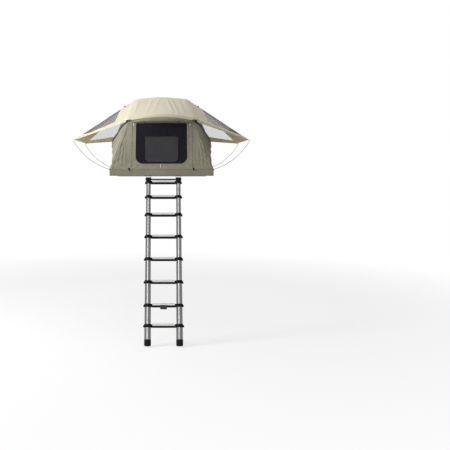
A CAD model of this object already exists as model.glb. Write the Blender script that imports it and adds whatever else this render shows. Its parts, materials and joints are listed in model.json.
"""Looks of the fold-out roof top tent: cloth, bedding, trims, finishes, light and camera.

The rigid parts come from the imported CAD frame. The cloth is worked out here from the same hoop plans,
with more points, so that it hangs where the CAD sheets are. Lengths are metres, in the CAD frame.
"""

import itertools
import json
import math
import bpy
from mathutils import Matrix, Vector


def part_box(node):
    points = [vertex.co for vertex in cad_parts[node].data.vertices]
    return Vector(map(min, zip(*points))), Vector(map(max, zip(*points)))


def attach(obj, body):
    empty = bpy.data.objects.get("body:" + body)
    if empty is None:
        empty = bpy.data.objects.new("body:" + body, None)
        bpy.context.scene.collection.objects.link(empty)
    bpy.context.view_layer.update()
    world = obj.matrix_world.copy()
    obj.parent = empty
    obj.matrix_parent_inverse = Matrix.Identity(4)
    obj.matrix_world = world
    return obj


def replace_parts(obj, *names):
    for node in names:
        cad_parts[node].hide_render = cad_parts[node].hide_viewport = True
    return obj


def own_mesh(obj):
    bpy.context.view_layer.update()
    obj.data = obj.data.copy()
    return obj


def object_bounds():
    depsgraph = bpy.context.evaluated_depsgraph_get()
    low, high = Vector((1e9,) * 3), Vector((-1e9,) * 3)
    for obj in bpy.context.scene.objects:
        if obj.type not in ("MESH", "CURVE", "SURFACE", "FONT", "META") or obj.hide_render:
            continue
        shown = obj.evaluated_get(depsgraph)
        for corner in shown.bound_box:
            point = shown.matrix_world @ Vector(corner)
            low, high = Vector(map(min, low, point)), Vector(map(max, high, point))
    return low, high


bl_info = {
    "name": "Roof top tent",
    "version": (1, 0, 0),
    "blender": (4, 5, 0),
    "location": "View3D > Sidebar > Tent",
    "description": "Dresses the CAD frame of a fold-out roof top tent",
    "category": "Object",
}

from collections import namedtuple

import bmesh
import bpy
import numpy as np
from bpy.props import FloatProperty, FloatVectorProperty, IntProperty, PointerProperty, StringProperty
from mathutils import Vector, noise
from mathutils.bvhtree import BVHTree

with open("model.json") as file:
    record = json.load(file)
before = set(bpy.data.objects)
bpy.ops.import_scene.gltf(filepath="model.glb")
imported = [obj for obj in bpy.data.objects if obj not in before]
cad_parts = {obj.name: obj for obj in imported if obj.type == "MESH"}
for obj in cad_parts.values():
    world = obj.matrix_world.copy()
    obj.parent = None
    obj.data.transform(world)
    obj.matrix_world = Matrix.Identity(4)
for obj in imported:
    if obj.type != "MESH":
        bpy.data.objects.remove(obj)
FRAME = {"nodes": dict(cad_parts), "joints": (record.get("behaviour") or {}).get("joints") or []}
NODES = FRAME["nodes"]
JOINTS = {joint["name"]: joint for joint in FRAME["joints"]}
CAD_BOX = [list(corner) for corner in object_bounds()]

# The hinge line, and for each half the body that its cloth rides on and the way that it lies from the hinge
HINGE_Y, HINGE_Z = JOINTS["fold"]["pos_m"][1:]
HALVES = {"front": ("moving_base", -1.0), "rear": ("fixed_base", 1.0)}
# Distance of each half's cloth from the hinge plane, where the two meet
SEAM = 0.002


def metres(name, text, value):
    return FloatProperty(name=name, description=text, default=value, subtype="DISTANCE", unit="LENGTH")


def fraction(name, text, value):
    return FloatProperty(name=name, description=text, default=value, min=0.0, max=1.0, subtype="FACTOR")


def hex_code(name, text, value):
    return StringProperty(name=name, description=text, default=value)


class TentSizes(bpy.types.PropertyGroup):
    """Sizes of the cloth and what carries it"""

    base_half: metres("Base half width", "Half width of the base frame", 0.706)
    half_len: metres("Half length", "Length of one base half", 1.218)
    base_low: metres("Base underside", "Height of the base's underside", 0.028)
    hub_x: metres("Hoop ends", "Distance of the hoop ends from the centre line", 0.660)
    outer_y: metres("Outer pivot", "Distance of an outer hoop's pivot from the hinge", 0.060)
    outer_z: metres("Outer pivot height", "Height of an outer hoop's pivot", 0.143)
    outer_crown: metres("Outer crown", "Crown of an outer hoop from its pivot", 1.188)
    centre_crown: metres("Centre crown", "Crown of the centre hoop above the hinge", 1.034)
    cover: metres("Canopy cover", "Canopy's outside from a hoop's axis", 0.0165)
    hub_cover: metres("Hub cover", "Canopy's outside from a hoop's end", 0.020)
    fly_cover: metres("Rainfly cover", "Rainfly's outside from a hoop's axis", 0.023)
    fly_rise: metres("Rainfly rise", "Rise of the rainfly's edge above the outer hoop", 0.040)
    hem_drop: metres("Hem drop", "Drop of the rainfly's hem", 0.046)
    hem_run: metres("Hem run", "Run of the hem ahead of the hoop", 0.016)
    skirt_height: metres("Skirt height", "Height of the skirt above the base's underside", 0.090)
    roof_sag: metres("Roof sag", "Sag of the canopy between two hoops", 0.022)
    wall_sag: metres("Wall sag", "Sag of the walls below the outer hoops", 0.004)
    wing_sag: metres("Wing sag", "Sag of the rainfly's wings", 0.010)
    hook_x: metres("Hook", "Half width at the hooks on the wings", 1.250)
    hook_height: metres("Hook height", "Height of the hooks above the base's underside", 0.512)
    near_hook: metres("Near hook", "Distance of the near wing corners from the hinge", 0.730)
    far_hook: metres("Far hook", "Distance of the far wing corners from the hinge", 0.690)
    front_edge: fraction("Front edge", "Share of the front hoop's leg below the wings", 0.975)
    rear_edge: fraction("Rear edge", "Share of the rear hoop's leg below the wings", 0.65)
    cloth: metres("Cloth", "Thickness of the drawn cloth", 0.0012)
    roll_r: metres("Door roll", "Radius of the rolled door", 0.038)
    window_roll_r: metres("Window roll", "Radius of the rolled window flap", 0.028)
    strap_drop: metres("Strap drop", "Distance along the ladder from its pivot to the strap's rung", 1.723)
    outer_lean: FloatProperty(
        name="Outer lean", description="Lean of the outer hoops above level", default=math.radians(37),
        subtype="ANGLE")
    leg_cols: IntProperty(
        name="Leg columns", description="Cloth columns along a hoop's leg", default=72, min=8)
    crown_cols: IntProperty(
        name="Crown columns", description="Cloth columns along a hoop's crown", default=100, min=10)


class TentColours(bpy.types.PropertyGroup):
    """Colours of the finishes, as sRGB hex values"""

    canopy: hex_code("Canopy", "Olive grey canvas", "8A8573")
    fly: hex_code("Rainfly", "Cream coated polyester", "D3CCB4")
    fly_inside: hex_code("Rainfly inside", "Warm inner coating", "E0D0A4")
    mesh: hex_code("Wing mesh", "Grey net of the wing windows", "6C6667")
    screen: hex_code("Door screen", "Black insect net", "1F1F27")
    trim: hex_code("Trim", "Black webbing and coated steel", "1B1B1D")
    plastic: hex_code("Plastic", "Black moulded nylon", "131315")
    alloy: hex_code("Alloy", "Aluminium of the base frame", "A2A2A1")
    tube: hex_code("Tubes", "Dull anodised tubes of the ladder and hoops", "757575")
    tread: hex_code("Treads", "Bright treads of the ladder", "CBCBC9")
    steel: hex_code("Steel", "Spring steel", "8E8F90")
    rubber: hex_code("Rubber", "Moulded feet and buttons", "161617")
    board: hex_code("Floor board", "Laminated floor", "A79E8A")
    foam_cover: hex_code("Mattress cover", "Knitted cover", "8B8B86")
    tab: hex_code("Tabs", "Pale webbing tabs", "D8D5CB")


class StageSettings(bpy.types.PropertyGroup):
    """Camera, light and floor"""

    camera_at: FloatVectorProperty(
        name="Camera", description="Place of the camera", default=(0.0, -10.83, 0.137), subtype="TRANSLATION")
    lens: FloatProperty(name="Lens", description="Focal length in millimetres", default=52.8)
    shift: FloatVectorProperty(
        name="Shift", description="Shift of the picture, in widths", default=(0.141, -0.127), size=2)
    sky: FloatProperty(name="Sky", description="Strength of the even light", default=0.33)
    key: FloatProperty(name="Key", description="Power of the key light in watts", default=390.0, unit="POWER")
    floor_radius: metres("Floor", "Radius of the floor", 60.0)


def linear(code):
    """An sRGB hex value as linear RGBA"""
    parts = [int(code[i : i + 2], 16) / 255 for i in (0, 2, 4)]
    return tuple(c / 12.92 if c <= 0.04045 else ((c + 0.055) / 1.055) ** 2.4 for c in parts) + (1.0,)


def add(tree, kind, inputs=None, **settings):
    """A node with its settings, its input values and the sockets that feed it"""
    made = tree.nodes.new(kind)
    for name, value in settings.items():
        setattr(made, name, value)
    for name, value in (inputs or {}).items():
        if isinstance(value, bpy.types.NodeSocket):
            tree.links.new(value, made.inputs[name])
        else:
            made.inputs[name].default_value = value
    return made


def new_material(name):
    """An empty material and its node tree"""
    material = bpy.data.materials.new(name)
    material.use_nodes = True
    material.node_tree.nodes.clear()
    return material, material.node_tree


# Where the two tones of a drifting colour lie on its noise
TONE_STOPS = (0.3, 0.7)
# Sizes of the patches of tone on cloth, on moulded stuff and on metal, and of the thick places in a yarn
CLOTH_PATCH_MM, MOULDED_PATCH_MM, METAL_PATCH_MM, SLUB_MM = 200, 71, 111, 22
# With this divisor one wave of the wave texture spans two threads, one raised and one lowered
THREAD_WAVE = 6.2832
# Spacing and length of the lines on drawn metal: real ones are too fine to show, so they are drawn coarser
DRAW_LINE_MM, DRAW_RUN_MM = 2.38, 250
# Depths of the weave, of a moulded grain and of drawn lines
WEAVE_DEPTH, GRAIN_DEPTH, LINE_DEPTH = 0.0012, 0.0006, 0.0003
# How far the roughness of moulded stuff and of drawn metal strays to either side of its own
GRAIN_STRAY, LINE_STRAY = (-0.08, 0.1), (-0.1, 0.14)
METAL_TONES = (0.92, 1.05)


def shaded(tree, code, where, patch_mm, tones):
    """A colour that drifts between two tones of itself, in patches of about that size"""
    drifting = add(tree, "ShaderNodeTexNoise", {
        "Vector": where, "Scale": round(1000 / patch_mm), "Detail": 4.0, "Roughness": 0.6})
    ramp = add(tree, "ShaderNodeValToRGB", {"Fac": drifting.outputs["Fac"]})
    for stop, at, gain in zip(ramp.color_ramp.elements, TONE_STOPS, tones):
        stop.position = at
        stop.color = tuple(min(1.0, c * gain) for c in linear(code)[:3]) + (1.0,)
    return ramp.outputs["Color"]


def woven_cloth(name, code, thread_mm, rough, bump, sheen=0.1, alpha=1.0, tones=(0.9, 1.06), gloss=0.5):
    """Woven cloth on its own UV map in metres: warp and weft ribs, a slow drift of tone, a soft sheen"""
    material, tree = new_material(name)
    uv = add(tree, "ShaderNodeTexCoord").outputs["UV"]
    ribs = {"Vector": uv, "Scale": 1000 / thread_mm / THREAD_WAVE, "Distortion": 0.6, "Detail": 1.0}
    warp, weft = (add(tree, "ShaderNodeTexWave", ribs, bands_direction=axis).outputs["Fac"] for axis in "XY")
    weave = add(tree, "ShaderNodeMath", {0: warp, 1: weft}, operation="MULTIPLY")
    slub = add(tree, "ShaderNodeTexNoise", {"Vector": uv, "Scale": round(1000 / SLUB_MM), "Detail": 3.0})
    height = add(tree, "ShaderNodeMath", {0: weave.outputs[0], 1: slub.outputs["Fac"]}, operation="ADD")
    relief = add(tree, "ShaderNodeBump", {
        "Strength": bump, "Distance": WEAVE_DEPTH, "Height": height.outputs[0]})
    shader = add(tree, "ShaderNodeBsdfPrincipled", {
        "Base Color": shaded(tree, code, uv, CLOTH_PATCH_MM, tones), "Roughness": rough,
        "Normal": relief.outputs["Normal"], "Sheen Weight": sheen, "Sheen Roughness": 0.5, "Alpha": alpha,
        "Specular IOR Level": gloss})
    add(tree, "ShaderNodeOutputMaterial", {"Surface": shader.outputs[0]})
    return material


def moulded(name, code, rough, grain_mm, bump, gloss=0.5, tones=(0.85, 1.12)):
    """Moulded, coated or laminated stuff with a fine grain on its own object coordinates"""
    material, tree = new_material(name)
    at = add(tree, "ShaderNodeTexCoord").outputs["Object"]
    grain = add(tree, "ShaderNodeTexNoise", {"Vector": at, "Scale": 1000 / grain_mm, "Detail": 2.0})
    fine = grain.outputs["Fac"]
    polish = add(tree, "ShaderNodeMapRange", {
        "Value": fine, "To Min": rough + GRAIN_STRAY[0], "To Max": rough + GRAIN_STRAY[1]})
    relief = add(tree, "ShaderNodeBump", {"Strength": bump, "Distance": GRAIN_DEPTH, "Height": fine})
    shader = add(tree, "ShaderNodeBsdfPrincipled", {
        "Base Color": shaded(tree, code, at, MOULDED_PATCH_MM, tones), "Roughness": polish.outputs["Result"],
        "Specular IOR Level": gloss, "Normal": relief.outputs["Normal"]})
    add(tree, "ShaderNodeOutputMaterial", {"Surface": shader.outputs[0]})
    return material


def drawn_metal(name, code, rough, bump, along="Z"):
    """Drawn metal: fine lines along the draw, seen as a stretched sheen"""
    material, tree = new_material(name)
    at = add(tree, "ShaderNodeTexCoord").outputs["Object"]
    stretch = [round(1000 / (DRAW_RUN_MM if axis == along else DRAW_LINE_MM)) for axis in "XYZ"]
    lines = add(tree, "ShaderNodeMapping", {"Vector": at, "Scale": stretch})
    noisy = add(tree, "ShaderNodeTexNoise", {"Vector": lines.outputs["Vector"], "Scale": 1.0, "Detail": 2.0})
    fine = noisy.outputs["Fac"]
    polish = add(tree, "ShaderNodeMapRange", {
        "Value": fine, "To Min": rough + LINE_STRAY[0], "To Max": rough + LINE_STRAY[1]})
    relief = add(tree, "ShaderNodeBump", {"Strength": bump, "Distance": LINE_DEPTH, "Height": fine})
    shader = add(tree, "ShaderNodeBsdfPrincipled", {
        "Base Color": shaded(tree, code, at, METAL_PATCH_MM, METAL_TONES), "Metallic": 1.0,
        "Roughness": polish.outputs["Result"], "Normal": relief.outputs["Normal"]})
    add(tree, "ShaderNodeOutputMaterial", {"Surface": shader.outputs[0]})
    return material


FINISHES = {}


def make_finishes(colours):
    """All finishes of the tent, each named for what the real one is"""
    even = (0.95, 1.03)
    FINISHES.update({
        # Poly-cotton canvas, plain weave: dull. Its 0.8 mm threads are drawn at 3.2 mm so that they show
        "canvas": woven_cloth("polycotton_canvas", colours.canopy, 3.2, 0.86, 0.2, 0.12, tones=(0.88, 1.07)),
        # Coated polyester: a fine weave, drawn at 4 mm so that it shows, with a faint gloss from its coating
        "fly": woven_cloth("coated_polyester", colours.fly, 4.0, 0.62, 0.18, 0.05, tones=even),
        # The coating on the inside is warmer, as daylight comes through the cloth
        "fly_inside": woven_cloth("polyester_coating", colours.fly_inside, 4.0, 0.7, 0.08, 0.0, tones=even),
        # Knitted nets: holes too small to draw, so each of a net's two faces lets part of the light by
        "front_net": woven_cloth("close_wing_net", colours.mesh, 4.0, 0.8, 0.3, 0.0, 0.38, gloss=0.1),
        "rear_net": woven_cloth("open_wing_net", colours.mesh, 4.0, 0.8, 0.3, 0.0, 0.20, gloss=0.1),
        "screen": woven_cloth("black_insect_net", colours.screen, 4.0, 0.75, 0.3, 0.0, 0.58, gloss=0.15),
        # Webbing and knitted cover: coarse ribs that catch the light along their crowns
        "webbing": woven_cloth("polyester_webbing", colours.trim, 3.0, 0.7, 0.5, 0.05),
        "tab": woven_cloth("pale_webbing", colours.tab, 3.0, 0.75, 0.4),
        "knit": woven_cloth("knitted_mattress_cover", colours.foam_cover, 5.0, 0.9, 0.4, 0.2),
        # Moulded nylon and rubber: nearly black, with the fine grain of a spark-eroded mould
        "nylon": moulded("moulded_nylon", colours.plastic, 0.5, 1.2, 0.15, 0.08),
        "rubber": moulded("moulded_rubber", colours.rubber, 0.75, 1.6, 0.25, 0.15),
        # Spun thread, dull and a shade darker than the pale webbing
        "thread": moulded("sewing_thread", colours.tab, 0.8, 0.6, 0.2, tones=(0.5, 0.75)),
        # Powder coat has a slight orange peel, laminate a broader one
        "black_steel": moulded("powder_coated_steel", colours.trim, 0.5, 1.0, 0.2, 0.25),
        "board": moulded("laminated_board", colours.board, 0.6, 3.0, 0.15),
        # Drawn metals: dull anodised tubes, brighter treads and base frame, spring steel rods and pins
        "alloy": drawn_metal("anodised_aluminium", colours.tube, 0.34, 0.03),
        "tread_alloy": drawn_metal("bright_tread", colours.tread, 0.34, 0.12, "X"),
        "frame_alloy": drawn_metal("mill_finish_aluminium", colours.alloy, 0.42, 0.12, "X"),
        "steel": drawn_metal("spring_steel", colours.steel, 0.32, 0.08, "X"),
    })


def unit(v):
    """The same directions with a length of 1"""
    return v / np.maximum(np.linalg.norm(v, axis=-1, keepdims=True), 1e-9)


def columns(*values):
    """Points from their coordinates, each a row of numbers or one number for all points"""
    return np.stack(np.broadcast_arrays(*values), -1)


def spans(points, axis=0):
    """Distances between neighbours in a line or along an axis of a grid"""
    return np.linalg.norm(np.diff(points, axis=axis), axis=-1)


def from_ends(count):
    """How many columns each of that many lies from the nearer end"""
    index = np.arange(count)
    return np.minimum(index, count - 1 - index)


def mixed(a, b, t):
    return a * (1 - t) + b * t


def smooth(x, low, high):
    """An eased step from 0 to 1"""
    t = np.clip((x - low) / (high - low), 0, 1)
    return t * t * (3 - 2 * t)


def band(x, start, stop):
    """1 between two fades and 0 outside them, with each fade given by its two ends"""
    return smooth(x, *start) * (1 - smooth(x, *stop))


def drift(grid, scale, seed):
    """Slow noise at each point of a grid, from about -1 to 1"""
    flat = grid.reshape(-1, 3) * scale + seed
    return np.array([noise.noise(Vector(p)) for p in flat]).reshape(grid.shape[:2])


def swell(grid, waves, seed=0.0):
    """Slow unevenness of a cloth, from waves of a scale, a height and a step of the seed"""
    return sum(drift(grid, scale, seed + step) * tall for scale, tall, step in waves)


def normals(grid):
    """Outward normals of a grid of rows down the cloth and columns from left to right"""
    return unit(np.cross(np.gradient(grid, axis=1), np.gradient(grid, axis=0)))


def arc(a, b, c, radius, steps):
    """Points of a bend of that radius at b, between a and c"""
    u, v = unit(b - a), unit(c - b)
    turn = math.atan2(u[0] * v[1] - u[1] * v[0], float(u @ v))
    start = b - u * radius * math.tan(abs(turn) / 2)
    centre = start + np.array([-u[1], u[0]]) * radius * np.sign(turn)
    angles = np.linspace(0, turn, steps + 1)
    x, y = start - centre
    return centre + columns(x * np.cos(angles) - y * np.sin(angles), x * np.sin(angles) + y * np.cos(angles))


def resample(points, count):
    """The same line with evenly spaced points"""
    steps = np.concatenate([[0], spans(points).cumsum()])
    at = np.linspace(0, steps[-1], count + 1)
    return columns(*(np.interp(at, steps, coordinate) for coordinate in points.T))


def dense(points, step, closed=False):
    """A polyline with points about that far apart"""
    points = np.asarray(points, float)
    if closed:
        points = np.concatenate([points, points[:1]])
    line = resample(points, max(2, int(spans(points).sum() / step)))
    return line[:-1] if closed else line


HoopPlan = namedtuple("HoopPlan", "widest shoulder bend")
# The widest point and the shoulder, each as how far it lies out from the base's side and down from the crown,
# and the radius of the shoulder's bend
CENTRE_PLAN = HoopPlan((-0.003, 0.604), (-0.256, 0.038), 0.200)
OUTER_PLAN = HoopPlan((0.016, 0.548), (-0.209, 0.118), 0.135)
# Bends at the widest point and over the crown, and the steps of a leg's bends and of the crown's
WIDE_BEND, CROWN_BEND = 0.5, 1.2
BEND_STEPS, CROWN_STEPS = 16, 24
# Share of a leg along which the cloth runs further off towards the hoop's end
END_SHARE = 0.375


def hoop_line(z, plan, crown):
    """A hoop's axis in its own plane: left leg to mid shoulder, crown, right leg"""
    bends = [(z.base_half + out, crown - down) for out, down in (plan.widest, plan.shoulder)]
    right = np.array([(z.hub_x, 0), *bends, (0, crown)])
    path = np.concatenate([right * [-1, 1], right[:-1][::-1]])
    wide = arc(*path[:3], WIDE_BEND, BEND_STEPS)
    shoulder, other = (arc(*path[k : k + 3], plan.bend, BEND_STEPS) for k in (1, 3))
    peak = arc(*path[2:5], CROWN_BEND, CROWN_STEPS)
    half = BEND_STEPS // 2
    leg = resample(np.concatenate([path[:1], wide, shoulder[: half + 1]]), z.leg_cols)
    top = resample(np.concatenate([shoulder[half:], peak, other[: half + 1]]), z.crown_cols)
    return np.concatenate([leg, top[1:], (leg * [-1, 1])[:-1][::-1]])


def outward(z, line, offset):
    """A line that stands off a hoop by that much, and further off at its ends"""
    tangent = unit(np.concatenate([line[1:2] - line[:1], line[2:] - line[:-2], line[-1:] - line[-2:-1]]))
    low = np.clip(1 - from_ends(len(line)) / (END_SHARE * z.leg_cols), 0, 1)
    stand_off = offset + (z.hub_cover - z.cover) * low
    return line + columns(-tangent[:, 1], tangent[:, 0]) * stand_off[:, None]


def hoop_lines(z, offset):
    """Cloth lines over the centre and outer hoops as points [x, distance from the hinge plane, z]"""
    plans = ((CENTRE_PLAN, z.centre_crown), (OUTER_PLAN, z.outer_crown))
    centre, outer = (outward(z, hoop_line(z, plan, crown), offset) for plan, crown in plans)
    along, up = (outer[:, 1] * part(z.outer_lean) for part in (math.cos, math.sin))
    return (columns(centre[:, 0], SEAM, HINGE_Z + centre[:, 1]),
            columns(outer[:, 0], z.outer_y + along, z.outer_z + up))


ROOF_ROWS, WALL_ROWS, SKIRT_ROWS = 30, 64, 6
# The skirt stands off the base's sides and ends just above the base's underside
SKIRT_EASE, SKIRT_LIFT = 0.004, 0.002
# The cloth sags towards a line inside the tent, at this height and this share of the distance from the hinge
INSIDE_Z, INSIDE_SHARE = 0.126, 0.9
FOLD_SEEDS = {"front": 3.1, "rear": 11.7}


def canopy_grid(z, seed):
    """One half of the canopy: roof, end wall and skirt, with its folds"""
    centre, outer = hoop_lines(z, z.cover)
    half_x, end = z.base_half + SKIRT_EASE, SEAM + z.half_len + SKIRT_EASE
    top = z.base_low + z.skirt_height
    side = np.linspace(SEAM, end, z.leg_cols + 1)
    across = np.linspace(-half_x, half_x, z.crown_cols + 1)
    foot = np.concatenate([
        columns(-half_x, side, top), columns(across, end, top)[1:], columns(half_x, side[-2::-1], top)])
    hem = foot * [1, 1, 0] + [0, 0, z.base_low + SKIRT_LIFT]
    slack = np.clip(from_ends(len(foot)) / z.leg_cols, 0, 1)[:, None]

    def between(a, b, t, sag):
        p = mixed(a, b, t)
        inside = p * [0, INSIDE_SHARE, 0] + [0, 0, INSIDE_Z]
        return p + unit(inside - p) * sag * slack * 4 * t * (1 - t)

    rows = [between(centre, outer, r / ROOF_ROWS, z.roof_sag) for r in range(ROOF_ROWS)]
    rows += [between(outer, foot, r / WALL_ROWS, z.wall_sag) for r in range(WALL_ROWS)]
    rows += [mixed(foot, hem, r / SKIRT_ROWS) for r in range(SKIRT_ROWS + 1)]
    grid = np.array(rows)
    knuckle = np.abs(outer[z.leg_cols])
    return grid + normals(grid) * wall_folds(grid, knuckle, slack[:, 0], seed)[..., None]


# Folds that fan from a knuckle over the end wall: angle from straight down, spread and height
FAN = ((0.98, 0.040, 0.009), (0.84, 0.035, 0.010), (0.71, 0.030, 0.010), (0.59, 0.030, 0.011),
       (0.48, 0.022, 0.008), (0.355, 0.026, 0.015), (0.27, 0.020, 0.005), (0.18, 0.022, 0.008),
       (0.09, 0.020, 0.008), (0.0, 0.016, 0.005))
# A fold of the fan is steep on its lower side and easy on its upper one, and fades in and out with its reach
FAN_STEEP, FAN_EASY = 0.6, 1.3
FAN_START, FAN_STOP = (0.03, 0.16), (0.5, 0.78)
# Noise that bends the fan's lines (scale, step of the seed, size) and the ripples' lines (scale, step)
FAN_WANDER, RIPPLE_WANDER = (6.0, 3, 0.04), (9.0, 5)
# Ripples of the end wall at its corners, beside the opening and along its foot. Radians to a metre up and
# across, sway and height, the fades where they start and stop across the wall, and the fade at their top
ALWAYS, NEVER = (-2.0, -1.0), (9.0, 10.0)
RIPPLES = (((74, 22, 2.2, 0.0036), (0.42, 0.60), NEVER, (0.22, 0.46)),
           ((118, 40, 3.0, 0.0030), (0.362, 0.374), (0.396, 0.410), (0.66, 0.74)),
           ((70, 60, 3.0, 0.0042), ALWAYS, (0.38, 0.45), (0.165, 0.20)))
# Distances from the hinge between which the sides go over into the end wall
END_FADE = (0.8, 1.1)
# Shares of the wall's rows down from the outer hoop, and of the roof's rows up from it, where folds are full
WALL_START, WALL_STOP, ROOF_START, ROOF_STOP = 0.1, 0.88, 0.7, 0.25
# Slow unevenness of the canopy, and the share of it that is left at the hoops and the skirt
CANOPY_SWELL = ((5.5, 0.005, 0), (15.0, 0.0024, 7))
HELD_SWELL = 0.25


def wall_folds(grid, knuckle, slack, seed):
    """Height of the folds over the canopy: a fan below each knuckle, and ripples on the end wall"""
    x, z = np.abs(grid[..., 0]), grid[..., 2]
    rows = np.arange(len(grid))[:, None] - ROOF_ROWS
    wall = band(rows, (0, WALL_START * WALL_ROWS), (WALL_STOP * WALL_ROWS, WALL_ROWS))
    roof = band(rows, (-ROOF_ROWS, -ROOF_START * ROOF_ROWS), (-ROOF_STOP * ROOF_ROWS, -1))
    out, down = x - knuckle[0], knuckle[2] - z
    angle, reach = np.arctan2(out, np.maximum(down, 1e-4)), np.hypot(out, down)
    fade = band(reach, FAN_START, FAN_STOP) * wall
    scale, step, size = FAN_WANDER
    wander = drift(grid, scale, seed + step) * size
    fan = 0
    for at, spread, tall in FAN:
        turn = angle + wander - at
        width = np.where(turn < 0, FAN_STEEP * spread, FAN_EASY * spread)
        fan = fan + tall * np.exp(-((turn / width) ** 2)) * fade
    scale, step = RIPPLE_WANDER
    wave = drift(grid, scale, seed + step)
    ripples = 0
    for (up, across, sway, tall), start, stop, top in RIPPLES:
        lines = np.sin(z * up + x * across + wave * sway) * tall
        ripples = ripples + lines * band(x, start, stop) * (1 - smooth(z, *top))
    loose = HELD_SWELL + (1 - HELD_SWELL) * np.maximum(wall, roof)
    end = smooth(grid[..., 1], *END_FADE) * wall
    return fan + ripples * end + swell(grid, CANOPY_SWELL, seed) * loose * slack


def place(half, points):
    """Points [x, distance from the hinge plane, z] in the CAD frame"""
    points = np.asarray(points, float).copy()
    points[..., 1] = HINGE_Y + HALVES[half][1] * points[..., 1]
    return points


def new_object(name, vertices, faces, finishes, uvs=None):
    """A mesh object at the origin, smooth, with its finishes and an optional UV for each vertex"""
    mesh = bpy.data.meshes.new(name)
    mesh.from_pydata([tuple(v) for v in vertices], [], [tuple(f) for f in faces])
    if uvs is not None:
        layer = mesh.uv_layers.new(name="UVMap")
        corner = np.empty(len(mesh.loops), int)
        mesh.loops.foreach_get("vertex_index", corner)
        layer.data.foreach_set("uv", np.asarray(uvs, np.float32)[corner].ravel())
    mesh.shade_smooth()
    for finish in finishes:
        mesh.materials.append(finish)
    return show(name, mesh)


def show(name, mesh):
    """An object with that mesh in the scene"""
    made = bpy.data.objects.new(name, mesh)
    bpy.context.scene.collection.objects.link(made)
    return made


def grid_uv(grid):
    """Lengths along the rows and columns of a grid, in metres, for each of its points"""
    along = np.concatenate([np.zeros((1, grid.shape[1])), spans(grid).cumsum(0)])
    across = np.concatenate([np.zeros((grid.shape[0], 1)), spans(grid, 1).cumsum(1)], 1)
    middle = grid.shape[1] // 2
    return columns(across - across[:, middle : middle + 1], along).reshape(-1, 2)


def grid_faces(rows, cols, flip):
    """Four-cornered faces of a grid of points"""
    ids = np.arange(rows * cols).reshape(rows, cols)
    quads = np.stack([ids[:-1, :-1], ids[1:, :-1], ids[1:, 1:], ids[:-1, 1:]], 2).reshape(-1, 4)
    return quads[:, ::-1] if flip else quads


def sheet_object(name, grid, flip, finish):
    """A sheet from a grid of points in the CAD frame"""
    faces = grid_faces(*grid.shape[:2], flip)
    return new_object(name, grid.reshape(-1, 3), faces, [finish], grid_uv(grid))


def settle(made):
    """The object with its modifiers applied, so that its mesh is final"""
    evaluated = made.evaluated_get(bpy.context.evaluated_depsgraph_get())
    mesh = bpy.data.meshes.new_from_object(evaluated)
    made.modifiers.clear()
    made.data = mesh
    return made


def thicken(made, thickness, inside=0):
    """A sheet with an inner face, whose finish comes that many places after the outer one's"""
    wall = made.modifiers.new("Thickness", "SOLIDIFY")
    wall.thickness = thickness
    wall.offset = -1.0
    wall.material_offset = inside
    return settle(made)


def hang(made, half, node=None):
    """Puts a piece in a CAD node's place, if one is named, and lets it flatten as its half folds"""
    if node:
        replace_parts(made, node)
    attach(made, HALVES[half][0])
    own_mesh(made)


Opening = namedtuple("Opening", "width low high radius")
# The door and the rear window: width, heights of foot and head above the base's underside, lower corners
OPENINGS = {"front": Opening(0.710, 0.165, 0.735, 0.103), "rear": Opening(0.560, 0.210, 0.640, 0.075)}
# Radius of the upper corners, and in degrees a corner's turn and the steps of upper and lower corners
HEAD_CORNER = 0.02
QUARTER_TURN, HEAD_STEP, FOOT_STEP = 90, 30, 9
# How far a screen laps behind the wall, how far it lies back from the wall's face, and its thickness
SCREEN_LAP, SCREEN_BACK, NET_THICK = 0.022, 0.0028, 0.0008
# Cloth further than this from the hinge is on the end wall, and a cut reaches this far round its own stretch
END_WALL, CUT_REACH = 0.9, 0.05


def opening_outline(opening, grow, base):
    """Outline of a door or window, square to its wall: (x, z) points, anticlockwise seen from the front"""
    x, low, high = opening.width / 2 + grow, opening.low - grow, opening.high + grow
    foot, head = opening.radius, HEAD_CORNER
    points = []
    for cx, cz, r, start, step in (
            (x - foot, low + foot, foot, -90, FOOT_STEP), (x - head, high - head, head, 0, HEAD_STEP),
            (-x + head, high - head, head, 90, HEAD_STEP), (-x + foot, low + foot, foot, 180, FOOT_STEP)):
        for turn in range(start, start + QUARTER_TURN + 1, step):
            a = math.radians(turn)
            points.append((cx + r * math.cos(a), base + cz + r * math.sin(a)))
    return points


def cut_outline(made, outline, half, keep_inside):
    """Cuts a cloth's end wall along a convex outline and removes one side of it"""
    bm = bmesh.new()
    bm.from_mesh(made.data)
    sides = list(zip(outline, outline[1:] + outline[:1]))

    def on_wall(c):
        return (c.y - HINGE_Y) * HALVES[half][1] > END_WALL

    for a, b in sides:
        low = [min(a[k], b[k]) - CUT_REACH for k in (0, 1)]
        high = [max(a[k], b[k]) + CUT_REACH for k in (0, 1)]
        faces = []
        for face in bm.faces:
            c = face.calc_center_median()
            if on_wall(c) and low[0] < c.x < high[0] and low[1] < c.z < high[1]:
                faces.append(face)
        corners, edges = {v for f in faces for v in f.verts}, {e for f in faces for e in f.edges}
        bmesh.ops.bisect_plane(bm, geom=[*corners, *edges, *faces], dist=1e-6, plane_co=(a[0], 0, a[1]),
                               plane_no=(b[1] - a[1], 0, a[0] - b[0]))

    def inside(c):
        return on_wall(c) and all(
            (b[0] - a[0]) * (c.z - a[1]) - (b[1] - a[1]) * (c.x - a[0]) > 0 for a, b in sides)

    drop = [f for f in bm.faces if inside(f.calc_center_median()) != keep_inside]
    bmesh.ops.delete(bm, geom=drop, context="FACES")
    bm.to_mesh(made.data)
    bm.free()


# The end walls and the rainfly's grids, for the trims that are set on them
WALLS = {}
FLIES = {}


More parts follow.
